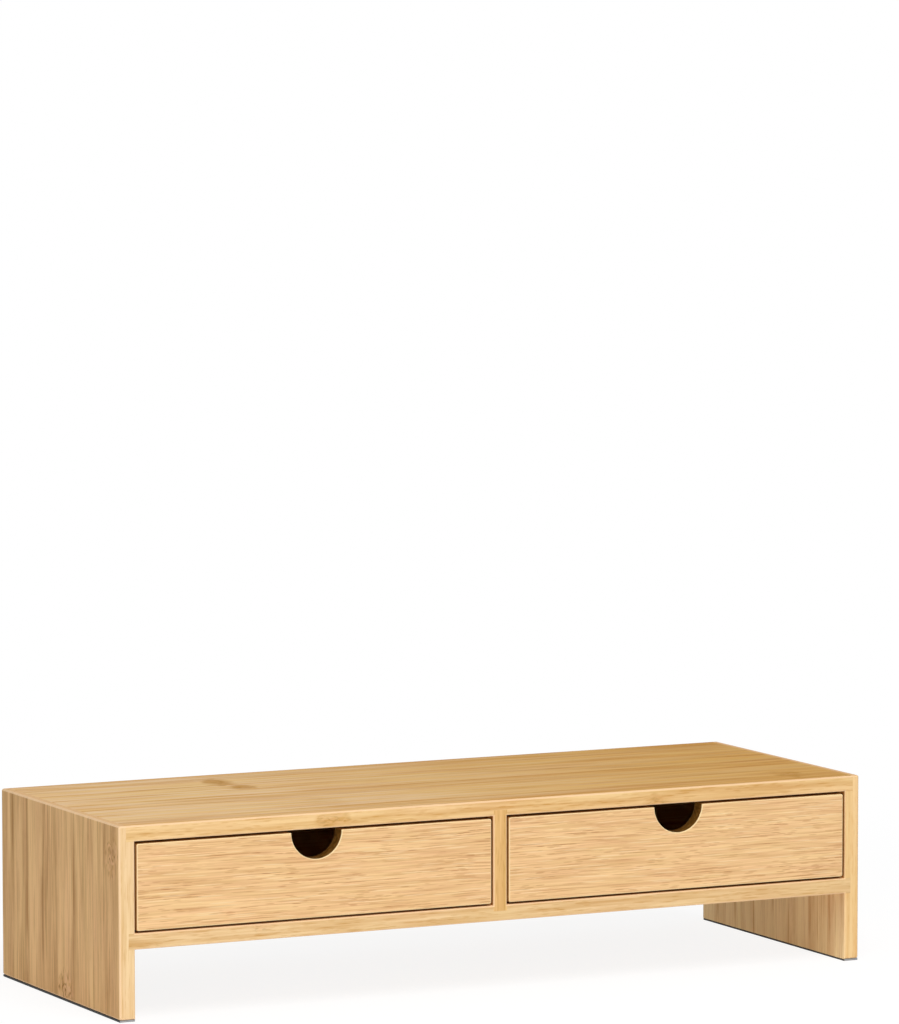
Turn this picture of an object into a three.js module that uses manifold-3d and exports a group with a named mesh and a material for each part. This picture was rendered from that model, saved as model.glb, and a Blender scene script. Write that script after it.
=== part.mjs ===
// Desk riser of bamboo boards with two wooden drawers side by side under its top.
// Millimetres. +X is right, -Y is the front, +Z is up.
// The origin is on the floor, under the middle of the riser.

import * as THREE from 'three';
import { RoundedBoxGeometry } from 'three/addons/geometries/RoundedBoxGeometry.js';
import { mergeVertices } from 'three/addons/utils/BufferGeometryUtils.js';
import Module from 'manifold-3d';

// Overall size, foot strips included
const riserWidth = 546;
const riserDepth = 200;
const riserHeight = 127;

// Boards of the case
const sideThickness = 11;
const topThickness = 10.5;
const shelfThickness = 10.5;
const dividerThickness = 10;
const backThickness = 4;
const bayHeight = 59.5;

// Joints of the case: a rabbet at each top corner, housings for the shelf and the divider,
// and a groove all round for the back
const lipThickness = 5;
const shelfHousing = 4.5;
const dividerHousing = 3.8;
const backGrooveDepth = 4;
const backGrooveSlack = 0.2;
const backInset = 6;

// Eased edges: the outer edges of the case, and the edges round its openings
const arrisRadius = 1.5;
const mouthRadius = 1;
const easeSteps = 4;

// Foam strips under the legs
const stripThickness = 1.3;
const stripSideInset = 0.3;
const stripEndInset = 0.5;

// Drawer fronts
const frontThickness = 11;
const frontSideGap = 1.5;
const frontTopGap = 1.7;
const frontBottomGap = 1.4;
const frontCornerRadius = 1.2;
const frontEdgeRadius = 0.8;
const notchRadius = 18;
const notchSteps = 36;
const cornerSteps = 4;

// Drawer boxes behind the fronts
const boxSideThickness = 8;
const boxBackThickness = 8;
const boxTopDrop = 6;
const boxEdgeRadius = 1.5;
const boxBackHousing = 3;
const boxBackSetIn = 10;
const boxBottomThickness = 3;
const boxBottomGroove = 4;
const boxBottomHeight = 6;
const boxBottomSlack = 0.2;
const slideClearance = 0.3;
const closedClearance = 0.5;

// Dowels between each front and its box
const dowelDiameter = 4;
const dowelLength = 20;
const dowelInFront = 7;
const dowelChamfer = 0.6;
const dowelFit = 0.3;
const dowelSides = 16;
const dowelHeightShares = [0.36, 0.8];

// How far a cutter runs on past what it cuts
const overrun = 1;

// Planes of the case
const outerX = riserWidth / 2;
const innerX = outerX - sideThickness;
const lipX = outerX - lipThickness;
const frontY = -riserDepth / 2;
const rearY = riserDepth / 2;
const topUnderside = riserHeight - topThickness;
const shelfTop = topUnderside - bayHeight;
const shelfUnderside = shelfTop - shelfThickness;
const backRear = rearY - backInset;
const backFront = backRear - backThickness;
const grooveRear = backRear + backGrooveSlack;
const grooveFront = backFront - backGrooveSlack;
const dividerX = dividerThickness / 2;
const bayCentre = (dividerX + innerX) / 2;

// Planes of a drawer: its frame has x = 0 in the middle of the bay, y = 0 at the face of the
// front, and z = 0 on the shelf
const frontHalf = (innerX - dividerX) / 2 - frontSideGap;
const frontTop = bayHeight - frontTopGap;
const boxInnerX = frontHalf - boxSideThickness;
const boxTop = frontTop - boxTopDrop;
const boxEnd = backFront - frontY - closedClearance;
const boxBackRear = boxEnd - boxBackSetIn;
const boxBackFront = boxBackRear - boxBackThickness;
const boxBottomUnderside = slideClearance + boxBottomHeight;
const boxBottomTop = boxBottomUnderside + boxBottomThickness;
const dowelX = frontHalf - boxSideThickness / 2;
const dowelRadius = dowelDiameter / 2;
const dowelY = frontThickness - dowelInFront + dowelLength / 2;

const wasm = await Module();
wasm.setup();

function toSolid(geometry) {
  const skin = geometry.clone();
  skin.deleteAttribute('normal');
  skin.deleteAttribute('uv');
  const merged = mergeVertices(skin);
  return new wasm.Manifold(new wasm.Mesh({
    numProp: 3,
    vertProperties: merged.attributes.position.array,
    triVerts: Uint32Array.from(merged.index.array),
  }));
}

function toGeometry(solid) {
  const mesh = solid.getMesh();
  const geometry = new THREE.BufferGeometry();
  geometry.setAttribute('position', new THREE.BufferAttribute(mesh.vertProperties, 3));
  geometry.setIndex(new THREE.BufferAttribute(mesh.triVerts, 1));
  geometry.computeVertexNormals();
  return geometry;
}

// A block between two planes on each axis, each given as [low, high]
function block(x, y, z) {
  const unit = new THREE.BoxGeometry(1, 1, 1);
  const corners = unit.attributes.position;
  for (let i = 0; i < corners.count; i += 1) {
    corners.setXYZ(
      i,
      corners.getX(i) < 0 ? x[0] : x[1],
      corners.getY(i) < 0 ? y[0] : y[1],
      corners.getZ(i) < 0 ? z[0] : z[1],
    );
  }
  return toSolid(unit);
}

// The points of an arc from one angle to another, both ends included
function arc(x, y, radius, from, to, steps) {
  return Array.from({ length: steps + 1 }, (_, step) => {
    const angle = from + (to - from) * (step / steps);
    return new THREE.Vector2(x + radius * Math.cos(angle), y + radius * Math.sin(angle));
  });
}

// Turns that stand an extruded outline up: its Y becomes Z, and it runs back to front or along X
const axisX = new THREE.Vector3(1, 0, 0);
const axisY = new THREE.Vector3(0, 1, 0);
const axisZ = new THREE.Vector3(0, 0, 1);
const runsForward = new THREE.Matrix4().makeBasis(axisX, axisZ, axisY.clone().negate());
const runsRight = new THREE.Matrix4().makeBasis(axisY, axisZ, axisX);

// A solid through rectangles that stand across Y, listed from front to back
function rectangleLoft(rings) {
  const points = rings.flatMap(({ x, y, z }) => [
    x[0], y, z[0],
    x[1], y, z[0],
    x[1], y, z[1],
    x[0], y, z[1],
  ]);
  const last = 4 * (rings.length - 1);
  const faces = [0, 1, 2, 0, 2, 3, last, last + 2, last + 1, last, last + 3, last + 2];
  for (let ring = 0; ring < last; ring += 4) {
    for (let side = 0; side < 4; side += 1) {
      const here = ring + side;
      const beside = ring + (side + 1) % 4;
      faces.push(here, here + 4, beside + 4, here, beside + 4, beside);
    }
  }
  const geometry = new THREE.BufferGeometry();
  geometry.setAttribute('position', new THREE.Float32BufferAttribute(points, 3));
  geometry.setIndex(faces);
  return toSolid(geometry);
}

// The cutter that rounds over the edges where an opening meets the front or the rear of the case
function easedMouth(x, z, faceY) {
  const outward = Math.sign(faceY);
  const spread = (grow, y) => ({
    x: [x[0] - grow, x[1] + grow],
    y,
    z: [z[0] - grow, z[1] + grow],
  });
  const rings = [spread(mouthRadius, faceY + outward * overrun)];
  for (let step = 0; step <= easeSteps; step += 1) {
    const angle = (step / easeSteps) * (Math.PI / 2);
    const inward = mouthRadius * (1 - Math.cos(angle));
    const grow = mouthRadius * (1 - Math.sin(angle));
    rings.push(spread(grow, faceY - outward * inward));
  }
  return rectangleLoft(outward < 0 ? rings : rings.reverse());
}

const leftBay = [-innerX, -dividerX];
const rightBay = [dividerX, innerX];
const wholeBay = [-innerX, innerX];
const bayZ = [shelfTop, topUnderside];
const underShelfZ = [-overrun, shelfUnderside];
const fullDepth = [frontY, rearY];
const pastDepth = [frontY - overrun, rearY + overrun];
const backGrooveY = [grooveFront, grooveRear];

const mouths = [
  easedMouth(leftBay, bayZ, frontY),
  easedMouth(rightBay, bayZ, frontY),
  easedMouth(wholeBay, bayZ, rearY),
  easedMouth(wholeBay, underShelfZ, frontY),
  easedMouth(wholeBay, underShelfZ, rearY),
].reduce((joined, mouth) => joined.add(mouth));

// The outside of the glued-up case, with all its outer edges rounded over
function caseEnvelope() {
  const height = riserHeight - stripThickness;
  const rounded = new RoundedBoxGeometry(riserWidth, riserDepth, height, easeSteps, arrisRadius);
  rounded.translate(0, 0, stripThickness + height / 2);
  return toSolid(rounded);
}

const envelope = caseEnvelope();
const eased = (board) => board.intersect(envelope).subtract(mouths);

// A side panel for side -1 (left) or 1 (right), with its rabbet, shelf housing and back groove
function sidePanel(side) {
  const across = (from, to) => (side < 0 ? [-to, -from] : [from, to]);
  const inside = innerX - overrun;
  const rabbet = block(
    across(inside, lipX),
    pastDepth,
    [topUnderside, riserHeight + overrun],
  );
  const housing = block(
    across(inside, innerX + shelfHousing),
    pastDepth,
    [shelfUnderside, shelfTop],
  );
  const groove = block(
    across(inside, innerX + backGrooveDepth),
    backGrooveY,
    [shelfTop - overrun, topUnderside + overrun],
  );
  const board = block(across(innerX, outerX), fullDepth, [stripThickness, riserHeight]);
  return eased(board.subtract(rabbet).subtract(housing).subtract(groove));
}

function topPanel() {
  const housing = block(
    [-dividerX, dividerX],
    [frontY - overrun, grooveFront + overrun],
    [topUnderside - overrun, topUnderside + dividerHousing],
  );
  const groove = block(
    [-lipX - overrun, lipX + overrun],
    backGrooveY,
    [topUnderside - overrun, topUnderside + backGrooveDepth],
  );
  const board = block([-lipX, lipX], fullDepth, [topUnderside, riserHeight]);
  return eased(board.subtract(housing).subtract(groove));
}

function drawerShelf() {
  const endX = innerX + shelfHousing;
  const housing = block(
    [-dividerX, dividerX],
    [frontY - overrun, grooveFront + overrun],
    [shelfTop - dividerHousing, shelfTop + overrun],
  );
  const groove = block(
    [-endX - overrun, endX + overrun],
    backGrooveY,
    [shelfTop - backGrooveDepth, shelfTop + overrun],
  );
  const board = block([-endX, endX], fullDepth, [shelfUnderside, shelfTop]);
  return eased(board.subtract(housing).subtract(groove));
}

function centerDivider() {
  return eased(block(
    [-dividerX, dividerX],
    [frontY, grooveFront],
    [shelfTop - dividerHousing, topUnderside + dividerHousing],
  ));
}

function backPanel() {
  const tongue = backGrooveDepth - backGrooveSlack;
  return block(
    [-innerX - tongue, innerX + tongue],
    [backFront, backRear],
    [shelfTop - tongue, topUnderside + tongue],
  );
}

function footStrip(side) {
  const x = [innerX + stripSideInset, outerX - stripSideInset];
  return block(
    side < 0 ? [-x[1], -x[0]] : x,
    [frontY + stripEndInset, rearY - stripEndInset],
    [0, stripThickness],
  );
}

// The outline of a drawer front, drawn inside the rounded edge that its bevel adds
function frontOutline() {
  const quarter = Math.PI / 2;
  const corner = frontCornerRadius - frontEdgeRadius;
  const cornerX = frontHalf - frontCornerRadius;
  const cornerBottom = frontBottomGap + frontCornerRadius;
  const cornerTop = frontTop - frontCornerRadius;
  const bite = notchRadius + frontEdgeRadius;
  const biteStart = -Math.asin(frontEdgeRadius / bite);
  return new THREE.Shape([
    ...arc(cornerX, cornerBottom, corner, -quarter, 0, cornerSteps),
    ...arc(cornerX, cornerTop, corner, 0, quarter, cornerSteps),
    ...arc(0, frontTop, bite, biteStart, -Math.PI - biteStart, notchSteps),
    ...arc(-cornerX, cornerTop, corner, quarter, Math.PI, cornerSteps),
    ...arc(-cornerX, cornerBottom, corner, -Math.PI, -quarter, cornerSteps),
  ]);
}

// A cutter for the hole of one dowel, a little wider and longer than the dowel
function dowelHole(x, z) {
  const radius = dowelRadius + dowelFit;
  const hole = new THREE.CylinderGeometry(radius, radius, dowelLength + 2 * dowelFit, dowelSides);
  hole.translate(x, dowelY, z);
  return toSolid(hole);
}

const dowelHeights = dowelHeightShares.map((share) => slideClearance + share * (boxTop - slideClearance));
const dowelPlaces = [-dowelX, dowelX].flatMap((x) => dowelHeights.map((z) => ({ x, z })));
const dowelHoles = dowelPlaces
  .map(({ x, z }) => dowelHole(x, z))
  .reduce((joined, hole) => joined.add(hole));

// The space that the bottom board and its slack fill, in the front, the sides and the back
const bottomGroove = block(
  [-boxInnerX - boxBottomGroove, boxInnerX + boxBottomGroove],
  [frontThickness - boxBottomGroove, boxBackFront + boxBottomGroove],
  [boxBottomUnderside - boxBottomSlack, boxBottomTop + boxBottomSlack],
);

function drawerFront() {
  const slab = new THREE.ExtrudeGeometry(frontOutline(), {
    depth: frontThickness - 2 * frontEdgeRadius,
    bevelThickness: frontEdgeRadius,
    bevelSize: frontEdgeRadius,
    bevelSegments: easeSteps,
  });
  slab.applyMatrix4(runsForward);
  slab.translate(0, frontThickness - frontEdgeRadius, 0);
  return toSolid(slab).subtract(bottomGroove).subtract(dowelHoles);
}

// What a box board is cut down to, to round over its two upper long edges. Its broad faces are at
// the two places in across, and this runs on past both of its ends.
function roundedTop(across, length, turn) {
  const radius = Math.min(boxEdgeRadius, (across[1] - across[0]) / 2);
  const low = slideClearance;
  const outline = new THREE.Shape([
    new THREE.Vector2(across[0], low),
    new THREE.Vector2(across[1], low),
    ...arc(across[1] - radius, boxTop - radius, radius, 0, Math.PI / 2, cornerSteps),
    ...arc(across[0] + radius, boxTop - radius, radius, Math.PI / 2, Math.PI, cornerSteps),
  ]);
  const rail = new THREE.ExtrudeGeometry(outline, { depth: 2 * length, bevelEnabled: false });
  rail.translate(0, 0, -length);
  rail.applyMatrix4(turn);
  return toSolid(rail);
}

function boxSide(side) {
  const x = side < 0 ? [-frontHalf, -boxInnerX] : [boxInnerX, frontHalf];
  const board = block(x, [frontThickness, boxEnd], [slideClearance, boxTop]);
  const groove = block(
    [-boxInnerX - boxBottomGroove, boxInnerX + boxBottomGroove],
    [frontThickness - overrun, boxEnd + overrun],
    [boxBottomUnderside - boxBottomSlack, boxBottomTop + boxBottomSlack],
  );
  const housing = block(
    [-boxInnerX - boxBackHousing, boxInnerX + boxBackHousing],
    [boxBackFront, boxBackRear],
    [slideClearance - overrun, boxTop + overrun],
  );
  return board
    .intersect(roundedTop(x, boxEnd + overrun, runsForward))
    .subtract(groove)
    .subtract(housing)
    .subtract(dowelHoles);
}

function boxBack() {
  const y = [boxBackFront, boxBackRear];
  const endX = boxInnerX + boxBackHousing;
  return block([-endX, endX], y, [slideClearance, boxTop])
    .intersect(roundedTop(y, endX + overrun, runsRight))
    .subtract(bottomGroove);
}

function boxBottom() {
  const tongue = boxBottomGroove - boxBottomSlack;
  return block(
    [-boxInnerX - tongue, boxInnerX + tongue],
    [frontThickness - tongue, boxBackFront + tongue],
    [boxBottomUnderside, boxBottomTop],
  );
}

function dowelGeometry() {
  const end = dowelLength / 2;
  const profile = [
    [0, -end],
    [dowelRadius - dowelChamfer, -end],
    [dowelRadius, dowelChamfer - end],
    [dowelRadius, end - dowelChamfer],
    [dowelRadius - dowelChamfer, end],
    [0, end],
  ];
  return new THREE.LatheGeometry(profile.map(([x, y]) => new THREE.Vector2(x, y)), dowelSides);
}

// Finishes
const wood = (color) => new THREE.MeshStandardMaterial({ color, roughness: 0.5, metalness: 0 });
const paleBamboo = () => wood(0xe2bd8a);
const sideBamboo = () => wood(0xdcb482);
const darkBamboo = () => wood(0xc99f68);
const beech = () => wood(0xd9b98c);
const foam = () => new THREE.MeshStandardMaterial({ color: 0x6d6d6b, roughness: 0.9, metalness: 0 });

function piece(name, geometry, material) {
  const mesh = new THREE.Mesh(geometry, material);
  mesh.name = name;
  return mesh;
}

function riserCase() {
  const group = new THREE.Group();
  group.add(
    piece('left_side_panel', toGeometry(sidePanel(-1)), sideBamboo()),
    piece('right_side_panel', toGeometry(sidePanel(1)), sideBamboo()),
    piece('top_panel', toGeometry(topPanel()), paleBamboo()),
    piece('drawer_shelf', toGeometry(drawerShelf()), paleBamboo()),
    piece('center_divider', toGeometry(centerDivider()), sideBamboo()),
    piece('back_panel', toGeometry(backPanel()), darkBamboo()),
    piece('left_foot_strip', toGeometry(footStrip(-1)), foam()),
    piece('right_foot_strip', toGeometry(footStrip(1)), foam()),
  );
  return group;
}

function drawer(name, x) {
  const group = new THREE.Group();
  group.position.set(x, frontY, shelfTop);
  group.add(
    piece(`${name}_front`, toGeometry(drawerFront()), paleBamboo()),
    piece(`${name}_left_side`, toGeometry(boxSide(-1)), sideBamboo()),
    piece(`${name}_right_side`, toGeometry(boxSide(1)), sideBamboo()),
    piece(`${name}_back`, toGeometry(boxBack()), sideBamboo()),
    piece(`${name}_bottom`, toGeometry(boxBottom()), darkBamboo()),
  );
  dowelPlaces.forEach((place, index) => {
    const dowel = piece(`${name}_dowel_${index + 1}`, dowelGeometry(), beech());
    dowel.position.set(place.x, dowelY, place.z);
    group.add(dowel);
  });
  return group;
}

const riser = new THREE.Group();
riser.add(riserCase(), drawer('left_drawer', -bayCentre), drawer('right_drawer', bayCentre));

export default riser;
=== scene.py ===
import math

import bpy
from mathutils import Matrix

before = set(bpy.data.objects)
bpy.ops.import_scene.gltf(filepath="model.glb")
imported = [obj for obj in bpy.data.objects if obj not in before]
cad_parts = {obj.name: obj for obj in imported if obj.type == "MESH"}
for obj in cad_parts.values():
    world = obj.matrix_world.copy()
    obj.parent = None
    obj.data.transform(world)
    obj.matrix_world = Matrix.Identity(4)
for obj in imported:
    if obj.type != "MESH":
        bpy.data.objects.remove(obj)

# The empty start scene brings its own objects, which go first
for name in ("Cube", "Light", "Camera"):
    if name in bpy.data.objects:
        bpy.data.objects.remove(bpy.data.objects[name])

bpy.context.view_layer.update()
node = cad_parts

MM_PER_METRE = 1000

# The faces of the boards that the finishes follow, in millimetres
SIDE_FACE = 273
TOP_FACE = 127
FRONT_FACE = -100
SHELF_FACE = 46

# The glue lines between the two layers of these boards, in millimetres
SIDE_GLUE_LINE = 267.5
TOP_GLUE_LINE = 121.7
SHELF_GLUE_LINE = 51.8

# The finger notches, in millimetres
NOTCH_RADIUS = 18
NOTCH_HEIGHT = 114.8
BAY_MIDDLE = 133.5

# The walls of the drawer bays, which get painted shade a little inside their mouths, in metres
BAY_SIDE = 0.2623
BAY_FLOOR = 0.0572
BAY_ROOF = 0.1167
BAY_MOUTH = (-0.0992, -0.098)
BAY_BACK = 0.0902


def paint(red, green, blue):
    """A colour as it shows, each part from 0 to 255, turned into the linear one of a shader."""
    def linear(part):
        part /= 255
        return part / 12.92 if part <= 0.04045 else ((part + 0.055) / 1.055) ** 2.4
    return (linear(red), linear(green), linear(blue), 1.0)


class Finish:
    """A material put together node by node. It measures in millimetres, and its three axes run
    along the grain, across the strips, and through the thickness of the board."""

    def __init__(self, name, grain="xyz"):
        self.material = bpy.data.materials.new(name)
        self.material.use_nodes = True
        self.nodes = self.material.node_tree.nodes
        self.links = self.material.node_tree.links
        self.nodes.clear()
        place = self.add("ShaderNodeTexCoord")
        self.place = place.outputs["Object"]
        self.spot = self.lined_up(self.place, grain, MM_PER_METRE)
        self.facing = self.lined_up(place.outputs["Normal"], grain, 1)
        self.along, self.across, self.through = self.parts(self.spot)
        self.face_along, self.face_across, self.face_through = [
            self.calc("ABSOLUTE", part) for part in self.parts(self.facing)
        ]

    def add(self, kind, values=(), **settings):
        made = self.nodes.new(kind)
        for setting, value in settings.items():
            setattr(made, setting, value)
        for socket, value in values:
            if isinstance(value, bpy.types.NodeSocket):
                self.links.new(value, made.inputs[socket])
            else:
                made.inputs[socket].default_value = value
        return made

    def parts(self, vector):
        return self.add("ShaderNodeSeparateXYZ", [(0, vector)]).outputs[:]

    def lined_up(self, vector, grain, size):
        """The vector with its parts in the order that the grain names, grown by a size."""
        parts = dict(zip("xyz", self.parts(vector)))
        turned = self.add("ShaderNodeCombineXYZ", [(i, parts[axis]) for i, axis in enumerate(grain)])
        return self.shift("SCALE", turned.outputs[0], ("Scale", size))

    def shift(self, operation, vector, *values):
        """One operation on vectors. Each value is a socket or numbers, or (input, value)."""
        sockets = [
            value if isinstance(value, tuple) and isinstance(value[0], str) else (i + 1, value)
            for i, value in enumerate(values)
        ]
        made = self.add("ShaderNodeVectorMath", [(0, vector), *sockets], operation=operation)
        return made.outputs["Value" if operation == "LENGTH" else "Vector"]

    def calc(self, operation, *values):
        return self.add("ShaderNodeMath", enumerate(values), operation=operation).outputs[0]

    def total(self, first, *terms):
        """The first value plus each (value, weight) after it."""
        for value, weight in terms:
            first = self.calc("MULTIPLY_ADD", value, weight, first)
        return first

    def centred(self, level, *terms):
        """A sum round a level, of values that lie round one half, each with its weight."""
        half = 0.5 * sum(weight for _, weight in terms)
        return self.total(level - half, *terms)

    def product(self, first, *others):
        for other in others:
            first = self.calc("MULTIPLY", first, other)
        return first

    def ease(self, value, low, high, start=0.0, end=1.0):
        """Goes smoothly from start to end while the value goes from low to high."""
        made = self.add(
            "ShaderNodeMapRange",
            [(0, value), (1, low), (2, high), (3, start), (4, end)],
            interpolation_type="SMOOTHSTEP",
        )
        return made.outputs[0]

    def noise(self, size, seed, detail=2.0, spot=None, bend=0.0):
        """Soft noise whose spots have a size along, across and through the board."""
        moved = self.shift(
            "MULTIPLY_ADD",
            spot or self.spot,
            tuple(1 / length for length in size),
            (seed * 3.1, seed * 5.7, seed * 2.3),
        )
        made = self.add(
            "ShaderNodeTexNoise",
            [
                ("Vector", moved),
                ("Scale", 1.0),
                ("Detail", detail),
                ("Roughness", 0.55),
                ("Distortion", bend),
            ],
        )
        return made.outputs[0]

    def mixed(self, share, first, second, blend="MIX"):
        made = self.add(
            "ShaderNodeMix",
            [(0, share), (6, first), (7, second)],
            data_type="RGBA",
            blend_type=blend,
        )
        return made.outputs[2]

    def steps(self, value, shades):
        """Reads off one of the shades, which split the range from 0 to 1 into equal steps."""
        made = self.add("ShaderNodeValToRGB", [(0, value)])
        ramp = made.color_ramp
        ramp.interpolation = "CONSTANT"
        while len(ramp.elements) < len(shades):
            ramp.elements.new(1.0)
        for i, shade in enumerate(shades):
            ramp.elements[i].position = i / len(shades)
            ramp.elements[i].color = (shade, shade, shade, 1.0)
        return made.outputs[0]

    def dashes(self, size, seed, spot, rim=0.34, core=0.16):
        """Scattered short dashes, one in each cell of a size along, across and through. Each
        fades in from its rim and is full in its core, both shares of the cell."""
        moved = self.shift(
            "MULTIPLY_ADD",
            spot,
            tuple(1 / length for length in size),
            (seed * 1.7, seed * 4.3, seed * 3.9),
        )
        cells = self.add("ShaderNodeTexVoronoi", [("Vector", moved), ("Scale", 1.0)])
        return self.ease(cells.outputs["Distance"], rim, core)

    def bent(self, sway):
        """Every spot, moved across the grain by a sway in millimetres."""
        moved = self.add("ShaderNodeCombineXYZ", [(1, sway)]).outputs[0]
        return self.shift("ADD", self.spot, moved)

    def drifting(self, colour, size, seed, middle, drift):
        """The colour, with a hue that drifts a little from place to place."""
        hue = self.total(middle, (self.noise(size, seed, 1.0), drift))
        made = self.add("ShaderNodeHueSaturation", [("Hue", hue), ("Color", colour)])
        return made.outputs[0]

    def tinted(self, share, colour, tint):
        """The colour, multiplied by a tint as far as the share says."""
        return self.mixed(share, colour, tint, "MULTIPLY")

    def between(self, shade, deep, pale):
        """A colour between two, with a shade from 0 to 1 that is held to these ends."""
        held = self.add("ShaderNodeClamp", [(0, shade)]).outputs[0]
        return self.mixed(held, deep, pale)

    def end_grain(self, pale, dot):
        """Cut ends of the bamboo: pale, with the dots of the fibre bundles."""
        spacing = 0.85
        dots = self.add("ShaderNodeTexVoronoi", [("Vector", self.spot), ("Scale", 1 / spacing)])
        dotted = self.ease(dots.outputs["Distance"], 0.42, 0.22, 0.0, 0.4)
        return self.mixed(dotted, pale, dot)

    def in_bay(self):
        """How much a point lies on the walls of the drawer bays, a little behind their mouths, where
        the wood gets painted shade.
        """
        aside, back, up = self.parts(self.place)
        return self.product(
            self.calc("LESS_THAN", self.calc("ABSOLUTE", aside), BAY_SIDE),
            self.calc("GREATER_THAN", up, BAY_FLOOR),
            self.calc("LESS_THAN", up, BAY_ROOF),
            self.ease(back, *BAY_MOUTH),
            self.calc("LESS_THAN", back, BAY_BACK),
        )

    def sanded(self):
        """How much a point lies on an eased edge, whose face leans off all three axes."""
        widest = self.calc("MAXIMUM", self.face_along, self.face_across)
        return self.ease(self.calc("MAXIMUM", widest, self.face_through), 0.999, 0.96)

    def lacquered(self, colour, height, relief, roughness, shine=0.06):
        """Ends the material in a shader, with its relief given in millimetres."""
        bump = self.add(
            "ShaderNodeBump",
            [("Strength", 1.0), ("Distance", relief / MM_PER_METRE), ("Height", height)],
        )
        shader = self.add(
            "ShaderNodeBsdfPrincipled",
            [
                ("Base Color", colour),
                ("Roughness", roughness),
                ("Normal", bump.outputs[0]),
                ("Specular IOR Level", shine),
            ],
        )
        self.add("ShaderNodeOutputMaterial", [(0, shader.outputs[0])])
        return self.material


# Colours that the bamboo boards share
FRESH_CUT = paint(246, 200, 146)
FIBRE_DOT = paint(206, 152, 98)
DARK_FIBRE_DOT = paint(160, 114, 70)
# Painted highlight for the eased edges of the case boards
ARRIS_HIGHLIGHT_COLOUR = paint(255, 218, 174)
# Painted highlight for the rounded edges of the drawer fronts and their notch rims
FRONT_ARRIS_HIGHLIGHT_COLOUR = paint(255, 233, 182)
HONEY = paint(253, 245, 214)
# Painted shade that darkens the far end of the top and the shelf
FAR_END_SHADE_TINT = paint(230, 210, 146)
KNUCKLE_GOLD = paint(196, 134, 2)
KNUCKLE_PALE = paint(240, 192, 152)
KNUCKLE_BROWN = paint(142, 98, 54)
# Painted shade for the walls of the drawer bays
BAY_SHADE_TINT = paint(205, 164, 104)
DARK_DASH = paint(192, 135, 85)
LIGHT_DASH = paint(255, 228, 182)
# Painted shade for the outer edges of the drawer fronts, which face the gaps
GAP_EDGE_SHADE_DEEP = paint(188, 136, 76)
GAP_EDGE_SHADE_PALE = paint(222, 171, 106)
# Painted shade for the wall of the finger notch
NOTCH_WALL_SHADE_DEEP = paint(92, 60, 18)
NOTCH_WALL_SHADE_PALE = paint(126, 88, 38)
NO_TINT = paint(255, 255, 255)


def knuckle_marks(finish, knuckles, seed):
    """How much each point lies in a knuckle of the bamboo, and its dark and pale marks.
    A knuckle is given by its middle and its reach, each along, across and through the board,
    and by its strength."""
    inside = 0.0
    rings = 0.0
    rough = finish.noise((12, 9, 9), seed + 2, detail=1.0)
    for middle, reach, strength in knuckles:
        away = finish.shift("SUBTRACT", finish.spot, middle)
        far = finish.shift("LENGTH", finish.shift("DIVIDE", away, reach))
        far = finish.total(finish.calc("SUBTRACT", far, 0.6), (rough, 1.2))
        here = finish.ease(far, 1.05, 0.3, 0.0, strength)
        inside = finish.calc("MAXIMUM", inside, here)
        rings = finish.total(rings, (finish.calc("MINIMUM", far, 1.0), 8.0))
    swirl = finish.noise((14, 4, 4), seed, detail=2.0)
    patches = finish.noise((8, 5, 5), seed + 1, detail=0.0)
    wave = finish.calc("SINE", finish.total(rings, (swirl, 30.0)))
    dark = finish.product(inside, finish.ease(wave, 0.1, 0.9), finish.ease(patches, 0.32, 0.58))
    pale = finish.product(inside, finish.ease(wave, 0.1, -0.7))
    return inside, dark, pale


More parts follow.
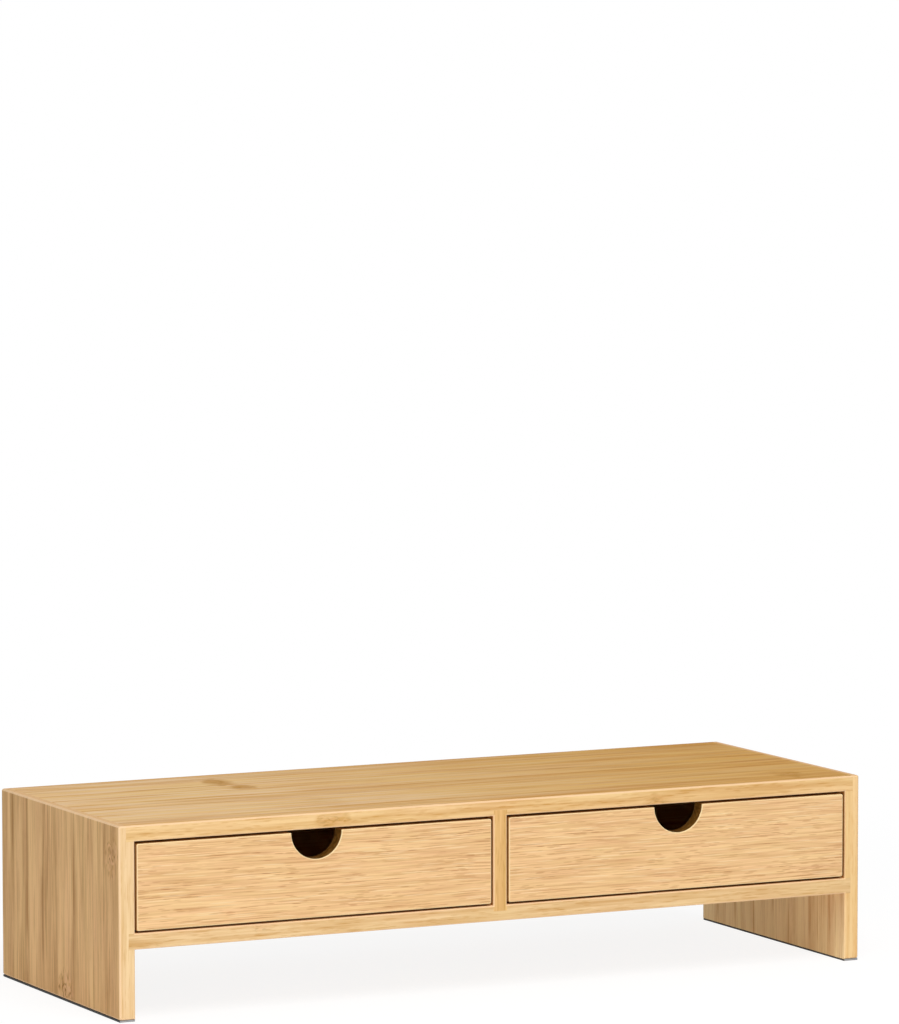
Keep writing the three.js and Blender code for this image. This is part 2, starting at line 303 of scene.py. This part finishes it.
def pressed_bamboo(
    name,
    grain,
    seed,
    strip,
    first_seam,
    glue_line,
    tones,
    seams,
    pale,
    deep,
    edge_pale,
    edge_deep,
    knuckles=(),
    knuckle_lines=0.6,
    knuckle_patch=0.2,
    far_end_shade=0.0,
    honey=0.0,
    second_layer=NO_TINT,
    arris_highlight_strength=0.75,
    bay_shade=False,
):
    """Lacquered board of wide bamboo strips, glued side by side in two layers that meet at a
    glue line inside its thickness. It shows seams, fibres, knuckles and end grain, with a
    painted highlight on its eased edges, and where asked, painted shade towards the far end
    of the grain and on the walls of the drawer bays."""
    finish = Finish(name, grain)
    inside, dark_marks, pale_marks = knuckle_marks(finish, knuckles, seed + 4)

    # Fibres swing round the knuckles
    swing = finish.total(-3.5, (finish.noise((9, 7, 7), seed + 9, detail=1.0), 7.0))
    bent = finish.bent(finish.product(swing, inside))

    # Strips, each with a tone of its own, and other ones in the second layer
    count = len(tones)
    layer = finish.calc("GREATER_THAN", finish.through, glue_line)
    place = finish.total(-first_seam / strip, (finish.across, 1 / strip))
    whole = finish.calc("FLOOR", place)
    part = finish.calc("SUBTRACT", place, whole)
    number = finish.total(0.5 / count, (whole, 1 / count), (layer, 3 / count))
    tone = finish.steps(finish.calc("FRACT", number), tones)

    # Seams, each as strong as its own value says: a thin glue line with a broad darker border
    # that comes and goes along it
    nearer = finish.calc("MINIMUM", part, finish.calc("SUBTRACT", 1.0, part))
    beside = finish.calc("MULTIPLY", nearer, strip)
    nearest = finish.calc("FLOOR", finish.calc("ADD", place, 0.5))
    seam_number = finish.total(0.5 / len(seams), (nearest, 1 / len(seams)))
    strength = finish.steps(finish.calc("FRACT", seam_number), seams)
    run = finish.noise((55, 9, 9), seed + 1, detail=1.0)
    line = finish.product(finish.ease(beside, 0.7, 0.1), finish.ease(run, 0.4, 0.6), strength)
    border = finish.product(
        finish.ease(beside, 4.0, 0.2), finish.ease(run, 0.36, 0.6, 0.2, 1.0), strength
    )

    # Grain, from broad bands down to single fibres
    bands = finish.noise((95, 7, 7), seed + 2, detail=1.0, spot=bent)
    streaks = finish.noise((60, 2.6, 2.6), seed + 3, detail=1.0, spot=bent)
    fibres = finish.noise((26, 0.8, 0.8), seed + 5, detail=1.0, spot=bent)
    hairs = finish.dashes((75, 1.4, 1.4), seed + 11, bent, rim=0.32, core=0.22)
    pores = finish.dashes((9, 1.5, 1.5), seed + 6, bent)
    shade = finish.total(
        finish.centred(0.7, (tone, 1.2), (bands, 1.3), (streaks, 0.8), (fibres, 0.4)),
        (hairs, -0.38),
        (line, -0.6),
        (border, -0.45),
        (pores, -0.12),
    )
    flat = finish.between(shade, deep, pale)
    sweet = finish.noise((130, 4, 4), seed + 12, detail=1.0, spot=bent)
    flat = finish.tinted(finish.ease(sweet, 0.4, 0.6, 0.0, honey), flat, HONEY)
    flat = finish.mixed(layer, flat, finish.tinted(1.0, flat, second_layer))

    # The narrow edges cut through the fibres, which show as short dashes
    layers = finish.noise((85, 3.2, 3.2), seed + 10, detail=1.0, spot=bent)
    edge_shade = finish.total(
        finish.centred(0.63, (layers, 1.4), (streaks, 1.0), (fibres, 0.6)),
        (finish.dashes((24, 1.8, 1.8), seed + 8, bent), -0.35),
        (finish.dashes((11, 1.4, 1.4), seed + 9, bent), -0.28),
    )
    edge = finish.between(edge_shade, edge_deep, edge_pale)
    on_edge = finish.ease(finish.face_across, 0.6, 0.9)
    colour = finish.mixed(on_edge, flat, edge)

    # Slight drifts of hue, and painted shade that makes the gold darker and deeper towards the far
    # end of the grain
    colour = finish.drifting(colour, (90, 12, 12), seed + 7, 0.493, 0.014)
    far_end_shade_share = finish.product(
        finish.ease(finish.along, -260, 270, 0.0, far_end_shade), finish.total(1.0, (on_edge, -0.9))
    )
    colour = finish.tinted(far_end_shade_share, colour, FAR_END_SHADE_TINT)

    # Knuckles, which show less on the edges
    patch = finish.ease(finish.face_across, 0.6, 0.9, 1.0, 0.5)
    lines = finish.ease(finish.face_across, 0.6, 0.9, knuckle_lines, 0.26)
    colour = finish.mixed(finish.product(inside, patch, knuckle_patch), colour, KNUCKLE_GOLD)
    colour = finish.mixed(finish.product(pale_marks, lines, 0.75), colour, KNUCKLE_PALE)
    colour = finish.mixed(finish.product(dark_marks, lines), colour, KNUCKLE_BROWN)

    # End grain, a painted highlight on the eased edges, and painted shade on the walls of the bays
    ends = finish.ease(finish.face_along, 0.8, 0.95)
    colour = finish.mixed(ends, colour, finish.end_grain(FRESH_CUT, FIBRE_DOT))
    # Painted highlight: the eased edges are made paler
    arris_highlight_share = finish.calc("MULTIPLY", finish.sanded(), arris_highlight_strength)
    colour = finish.mixed(arris_highlight_share, colour, ARRIS_HIGHLIGHT_COLOUR)
    # Painted shade darkens the walls of the drawer bays behind their mouths
    if bay_shade:
        colour = finish.mixed(finish.in_bay(), colour, finish.tinted(1.0, colour, BAY_SHADE_TINT))

    height = finish.total(
        0.0, (fibres, 0.5), (streaks, 0.4), (line, -0.6), (pores, -0.5), (dark_marks, -0.6)
    )
    roughness = finish.total(0.45, (streaks, 0.14), (ends, 0.12), (dark_marks, 0.08))
    return finish.lacquered(colour, height, 0.08, roughness)


def fine_bamboo(name, grain, seed, pale, deep, notch=None):
    """Lacquered board of narrow strips on edge, whose faces show fine short dashes of fibre,
    with a painted highlight on its rounded edges. A notch is given by its middle and its
    radius: with it, the wall of the notch gets a dark brown painted shade, and the outer
    edges of the board a lighter painted shade."""
    finish = Finish(name, grain)
    swing = finish.noise((110, 25, 25), seed + 9, detail=1.0)
    bent = finish.bent(finish.total(-1.5, (swing, 3.0)))

    # Grain, from soft clouds down to single fibres
    clouds = finish.noise((80, 5, 5), seed + 1, detail=2.0, spot=bent)
    streaks = finish.noise((70, 1.9, 1.9), seed + 4, detail=1.0, spot=bent)
    fibres = finish.noise((38, 0.8, 0.8), seed + 5, detail=0.0, spot=bent)
    shade = finish.total(
        finish.centred(0.84, (streaks, 0.45), (fibres, 0.8)),
        (finish.ease(clouds, 0.42, 0.62), -0.18),
    )
    colour = finish.between(shade, deep, pale)

    # Dark dashes of three lengths, the shortest in patches, and a few light ones
    patchy = finish.noise((60, 9, 9), seed + 10, detail=1.0, spot=bent)
    short_dash = finish.product(
        finish.dashes((14, 1.1, 1.1), seed + 3, bent, rim=0.3, core=0.2),
        finish.ease(patchy, 0.4, 0.6, 0.25, 1.0),
    )
    dark_dash = finish.total(
        0.0,
        (finish.dashes((95, 1.2, 1.2), seed + 2, bent, rim=0.29, core=0.2), 0.44),
        (finish.dashes((36, 1.1, 1.1), seed + 8, bent, rim=0.3, core=0.2), 0.48),
        (short_dash, 0.54),
    )
    light_dash = finish.dashes((38, 1.4, 1.4), seed + 6, bent, rim=0.3, core=0.2)
    colour = finish.mixed(dark_dash, colour, DARK_DASH)
    colour = finish.mixed(finish.calc("MULTIPLY", light_dash, 0.45), colour, LIGHT_DASH)
    colour = finish.drifting(colour, (30, 3, 3), seed + 7, 0.491, 0.018)

    # End grain, painted shade on the outer edges and on the wall of the notch, and a painted
    # highlight on the rounded edges
    ends = finish.ease(finish.face_along, 0.8, 0.95)
    colour = finish.mixed(ends, colour, finish.end_grain(deep, DARK_FIBRE_DOT))
    if notch:
        # Painted shade on the outer edges, which face the gaps
        shaded_edge_faces = finish.ease(finish.face_through, 0.3, 0.1)
        colour = finish.mixed(shaded_edge_faces, colour, finish.mixed(streaks, GAP_EDGE_SHADE_DEEP, GAP_EDGE_SHADE_PALE))
        middle, radius = notch
        wall_depth = 0.3
        away = finish.shift("SUBTRACT", finish.spot, middle)
        far = finish.shift("LENGTH", finish.shift("MULTIPLY", away, (1, 1, 0)))
        # Painted shade, darker brown, on the wall of the notch
        wall = finish.product(finish.calc("LESS_THAN", far, radius + wall_depth), shaded_edge_faces)
        notch_shade_mix = finish.ease(streaks, 0.3, 0.7)
        colour = finish.mixed(wall, colour, finish.mixed(notch_shade_mix, NOTCH_WALL_SHADE_DEEP, NOTCH_WALL_SHADE_PALE))
    # Painted highlight on the rounded edges
    rounded = finish.product(
        finish.ease(finish.face_through, 0.15, 0.35), finish.ease(finish.face_through, 0.999, 0.96)
    )
    colour = finish.mixed(finish.calc("MULTIPLY", rounded, 0.75), colour, FRONT_ARRIS_HIGHLIGHT_COLOUR)

    height = finish.total(0.0, (fibres, 0.5), (dark_dash, -0.6))
    roughness = finish.total(0.42, (streaks, 0.12), (ends, 0.12))
    return finish.lacquered(colour, height, 0.1, roughness)


def turned_beech(name, seed):
    """Bare dowel of beech: pale, with short flecks and fluted pressing marks along it."""
    finish = Finish(name, "yxz")
    fibres = finish.noise((9, 0.4, 0.4), seed, detail=2.0)
    flecks = finish.ease(finish.noise((2.2, 0.35, 0.35), seed + 1, detail=1.0), 0.6, 0.7)
    shade = finish.ease(finish.total(0.0, (fibres, 1.0), (flecks, -0.25)), 0.2, 0.65)
    colour = finish.mixed(shade, paint(196, 150, 104), paint(232, 198, 152))
    height = finish.total(0.0, (fibres, 1.0), (flecks, -0.3))
    return finish.lacquered(colour, height, 0.08, finish.total(0.5, (fibres, 0.2)))


def closed_cell_foam(name, seed):
    """Dark grey foam strip: fine closed cells under a dusty skin, and paler cut ends. Its dark grey
    is partly painted shade of its contact with the floor, and its paler ends are partly a painted
    highlight.
    """
    finish = Finish(name, "yxz")
    cell_size = 0.45
    cells = finish.add(
        "ShaderNodeTexVoronoi", [("Vector", finish.spot), ("Scale", 1 / cell_size)]
    ).outputs["Distance"]
    dust = finish.noise((14, 5, 5), seed, detail=3.0)
    shade = finish.total(0.0, (cells, 0.5), (dust, 0.6))
    colour = finish.mixed(shade, paint(56, 57, 59), paint(100, 101, 102))
    # Paler cut ends, partly the cut face and partly a painted highlight
    cut = finish.ease(finish.face_along, 0.5, 0.9, 0.0, 0.7)
    colour = finish.mixed(cut, colour, paint(184, 185, 187))
    height = finish.total(0.0, (cells, -1.0), (dust, 0.4))
    return finish.lacquered(colour, height, 0.15, finish.total(0.72, (dust, 0.2)), shine=0.15)


# Case boards
side_pale = paint(239, 196, 140)
side_deep = paint(178, 132, 82)
top_pale = paint(255, 219, 172)
top_deep = paint(221, 161, 80)
edge_pale = paint(247, 210, 153)
edge_deep = paint(213, 161, 92)

node["left_side_panel"].material_slots[0].material = pressed_bamboo(
    "bamboo_left_side",
    "zyx",
    seed=3,
    strip=26.2,
    first_seam=-102.2,
    glue_line=-SIDE_GLUE_LINE,
    tones=(0.5, 0.58, 0.52, 0.58, 0.48, 0.66, 0.42, 0.55),
    seams=(0.2, 0.9, 0.6, 1.0, 0.3, 1.0, 0.8, 0.7, 0.2),
    pale=side_pale,
    deep=side_deep,
    edge_pale=paint(249, 216, 168),
    edge_deep=paint(229, 187, 131),
    knuckles=(
        ((104, -88, -SIDE_FACE), (18, 13, 8), 0.8),
        ((9, -10, -SIDE_FACE), (14, 16, 8), 1),
    ),
    knuckle_lines=0.75,
    bay_shade=True,
)
# The right side panel has paler tones than the left: partly its own tone, partly painted light that
# brightens the shade on its inner face under the shelf
node["right_side_panel"].material_slots[0].material = pressed_bamboo(
    "bamboo_right_side",
    "zyx",
    seed=41,
    strip=26.2,
    first_seam=-105,
    glue_line=SIDE_GLUE_LINE,
    tones=(0.42, 0.52, 0.58, 0.62, 0.68, 0.72, 0.66, 0.72),
    seams=(0.3, 0.9, 0.8, 0.4, 0.9, 0.8, 0.9, 0.6, 0.2),
    pale=paint(255, 225, 173),
    deep=paint(208, 161, 108),
    edge_pale=paint(250, 213, 155),
    edge_deep=paint(233, 184, 119),
    knuckles=(
        ((88, 40, SIDE_FACE), (12, 14, 8), 1),
        ((30, -60, SIDE_FACE), (12, 13, 8), 1),
    ),
    second_layer=paint(250, 231, 217),
    arris_highlight_strength=0.25,
    bay_shade=True,
)
node["top_panel"].material_slots[0].material = pressed_bamboo(
    "bamboo_top",
    "xyz",
    seed=17,
    strip=25,
    first_seam=-102,
    glue_line=TOP_GLUE_LINE,
    tones=(0.65, 0.72, 0.52, 0.48, 0.75, 0.75, 0.5, 0.72),
    seams=(0.2, 0.7, 0.6, 0.6, 1.0, 0.8, 0.6, 0.3, 0.7),
    pale=top_pale,
    deep=top_deep,
    edge_pale=edge_pale,
    edge_deep=edge_deep,
    knuckles=(
        ((-132, 62, TOP_FACE), (13, 21, 6), 1),
        ((-126, 34, TOP_FACE), (13, 14, 6), 1),
        ((-104, -56, TOP_FACE), (18, 28, 6), 0.16),
        ((233, -74, TOP_FACE), (15, 19, 6), 0.75),
        ((-121, FRONT_FACE, 121), (15, 6, 7), 1),
        ((118, FRONT_FACE, 116), (13, 6, 8), 1),
    ),
    knuckle_lines=0.25,
    knuckle_patch=0.7,
    far_end_shade=0.86,
    honey=1.0,
)
node["drawer_shelf"].material_slots[0].material = pressed_bamboo(
    "bamboo_shelf",
    "xyz",
    seed=29,
    strip=25,
    first_seam=-104,
    glue_line=SHELF_GLUE_LINE,
    tones=(0.6, 0.5, 0.7, 0.4, 0.55, 0.65, 0.45, 0.6),
    seams=(0.5, 0.8, 0.4, 0.9, 0.6),
    pale=top_pale,
    deep=top_deep,
    edge_pale=paint(245, 211, 160),
    edge_deep=paint(211, 163, 100),
    knuckles=(
        ((-176, FRONT_FACE, 59), (13, 6, 8), 1),
        ((-250, FRONT_FACE, 44), (12, 6, 7), 1),
        ((90, 20, SHELF_FACE), (12, 14, 6), 1),
    ),
    far_end_shade=0.5,
)
node["center_divider"].material_slots[0].material = pressed_bamboo(
    "bamboo_divider",
    "zyx",
    seed=53,
    strip=25,
    first_seam=-104,
    glue_line=0,
    tones=(0.5, 0.6, 0.7, 0.4, 0.55, 0.65, 0.45, 0.6),
    seams=(0.5, 0.8, 0.4, 0.9, 0.6),
    pale=side_pale,
    deep=side_deep,
    edge_pale=paint(242, 199, 134),
    edge_deep=paint(210, 160, 90),
    bay_shade=True,
)

# Thin boards of the back and of the drawer bottoms
thin_pale = paint(240, 203, 152)
thin_deep = paint(196, 150, 98)
for name, grain, seed in (
    ("back_panel", "xzy", 61),
    ("left_drawer_bottom", "xyz", 67),
    ("right_drawer_bottom", "xyz", 71),
):
    node[name].material_slots[0].material = fine_bamboo(
        "bamboo_" + name, grain, seed, thin_pale, thin_deep
    )

# Drawers
front_pale = paint(249, 208, 154)
front_deep = paint(206, 155, 101)
for side, seed, notch_place in (("left", 80, -BAY_MIDDLE), ("right", 96, BAY_MIDDLE)):
    drawer = side + "_drawer_"
    node[drawer + "front"].material_slots[0].material = fine_bamboo(
        "bamboo_" + drawer + "front",
        "xzy",
        seed,
        front_pale,
        front_deep,
        notch=((notch_place, NOTCH_HEIGHT, FRONT_FACE), NOTCH_RADIUS),
    )
    for board, grain in (("left_side", "yzx"), ("right_side", "yzx"), ("back", "xzy")):
        node[drawer + board].material_slots[0].material = pressed_bamboo(
            "bamboo_" + drawer + board,
            grain,
            seed=seed + 7,
            strip=18,
            first_seam=40,
            glue_line=0,
            tones=(0.6, 0.5, 0.7, 0.4, 0.55, 0.65),
            seams=(0.5, 0.8, 0.4),
            pale=top_pale,
            deep=top_deep,
            edge_pale=edge_pale,
            edge_deep=edge_deep,
        )
    dowel_finish = turned_beech(drawer + "beech", seed)
    for number in range(1, 5):
        node[drawer + "dowel_" + str(number)].material_slots[0].material = dowel_finish

for side, seed in (("left", 5), ("right", 8)):
    node[side + "_foot_strip"].material_slots[0].material = closed_cell_foam(side + "_foam", seed)


def studio_floor():
    """Pale matt floor. The eye sees it near white, with the soft shadow of the riser on it, and
    plain white further out."""
    floor_size = 40
    white_from, white_to = 380, 900
    bounced = (0.9, 0.9, 0.9, 1.0)
    seen_grey = (0.17, 0.17, 0.17, 1.0)
    glow = 0.875

    bpy.ops.object.select_all(action="DESELECT")
    bpy.ops.mesh.primitive_plane_add(size=floor_size, location=(0, 0, 0))
    floor = bpy.context.object
    floor.name = "studio_floor"
    paper = Finish("studio_floor_paint")
    far = paper.ease(paper.shift("LENGTH", paper.spot), white_from, white_to)
    grey = paper.add("ShaderNodeBsdfDiffuse", [("Color", bounced)])
    pale = paper.add("ShaderNodeBsdfDiffuse", [("Color", seen_grey)])
    lift = paper.add("ShaderNodeEmission", [("Strength", glow)])
    white = paper.add("ShaderNodeEmission", [("Strength", 1.0)])
    near = paper.add("ShaderNodeAddShader", [(0, pale.outputs[0]), (1, lift.outputs[0])])
    seen = paper.add("ShaderNodeMixShader", [(0, far), (1, near.outputs[0]), (2, white.outputs[0])])
    eye = paper.add("ShaderNodeLightPath").outputs["Is Camera Ray"]
    both = paper.add("ShaderNodeMixShader", [(0, eye), (1, grey.outputs[0]), (2, seen.outputs[0])])
    paper.add("ShaderNodeOutputMaterial", [(0, both.outputs[0])])
    floor.data.materials.append(paper.material)


def studio_light():
    """A plain pale room, white where it is seen, and two large soft lamps: a high one
    in front, and a low one to its left that fills in the sides and the space under the shelf."""
    room_strength = 0.33
    seen_strength = 1.0
    mirrored_share = 0.3

    world = bpy.context.scene.world or bpy.data.worlds.new("studio")
    bpy.context.scene.world = world
    world.use_nodes = True
    nodes = world.node_tree.nodes
    links = world.node_tree.links
    nodes.clear()
    path = nodes.new("ShaderNodeLightPath")
    seen = nodes.new("ShaderNodeMath")
    seen.operation = "MAXIMUM"
    mirrored = nodes.new("ShaderNodeMath")
    mirrored.operation = "MULTIPLY_ADD"
    mirrored.inputs[1].default_value = mirrored_share
    room = nodes.new("ShaderNodeBackground")
    white = nodes.new("ShaderNodeBackground")
    for background, strength in ((room, room_strength), (white, seen_strength)):
        background.inputs["Color"].default_value = (1.0, 1.0, 1.0, 1.0)
        background.inputs["Strength"].default_value = strength
    blend = nodes.new("ShaderNodeMixShader")
    out = nodes.new("ShaderNodeOutputWorld")
    links.new(path.outputs["Is Camera Ray"], seen.inputs[0])
    links.new(path.outputs["Is Transmission Ray"], seen.inputs[1])
    links.new(path.outputs["Is Glossy Ray"], mirrored.inputs[0])
    links.new(seen.outputs[0], mirrored.inputs[2])
    links.new(mirrored.outputs[0], blend.inputs[0])
    links.new(room.outputs[0], blend.inputs[1])
    links.new(white.outputs[0], blend.inputs[2])
    links.new(blend.outputs[0], out.inputs[0])

    for name, place, width, height, watts in (
        ("high_lamp", (-0.14, -1.58, 2.54), 1.8, 1.8, 47),
        ("low_lamp", (-3.0, -3.3, 0.18), 3.3, 0.34, 57),
    ):
        lamp = bpy.data.lights.new(name, "AREA")
        lamp.shape = "RECTANGLE"
        lamp.size = width
        lamp.size_y = height
        lamp.energy = watts
        lamp_object = bpy.data.objects.new(name, lamp)
        bpy.context.scene.collection.objects.link(lamp_object)
        lamp_object.location = place
        aim = -lamp_object.location.normalized()
        lamp_object.rotation_euler = aim.to_track_quat("-Z", "Y").to_euler()
        lamp_object.visible_camera = False


def photo_camera():
    """The camera's place and lens, worked out from the straight edges of the boards."""
    focal_length = 207.565
    place = (-1.73811, -3.54419, 0.66483)
    turns_in_degrees = (84.8562, 0.0524, -26.2871)

    camera = bpy.data.cameras.new("photo_camera")
    camera.sensor_width = 36
    camera.lens = focal_length
    camera.clip_end = 60
    camera_object = bpy.data.objects.new("photo_camera", camera)
    bpy.context.scene.collection.objects.link(camera_object)
    camera_object.location = place
    camera_object.rotation_euler = [math.radians(turn) for turn in turns_in_degrees]
    bpy.context.scene.camera = camera_object


studio_floor()
studio_light()
photo_camera()
bpy.context.scene.view_settings.view_transform = "Standard"
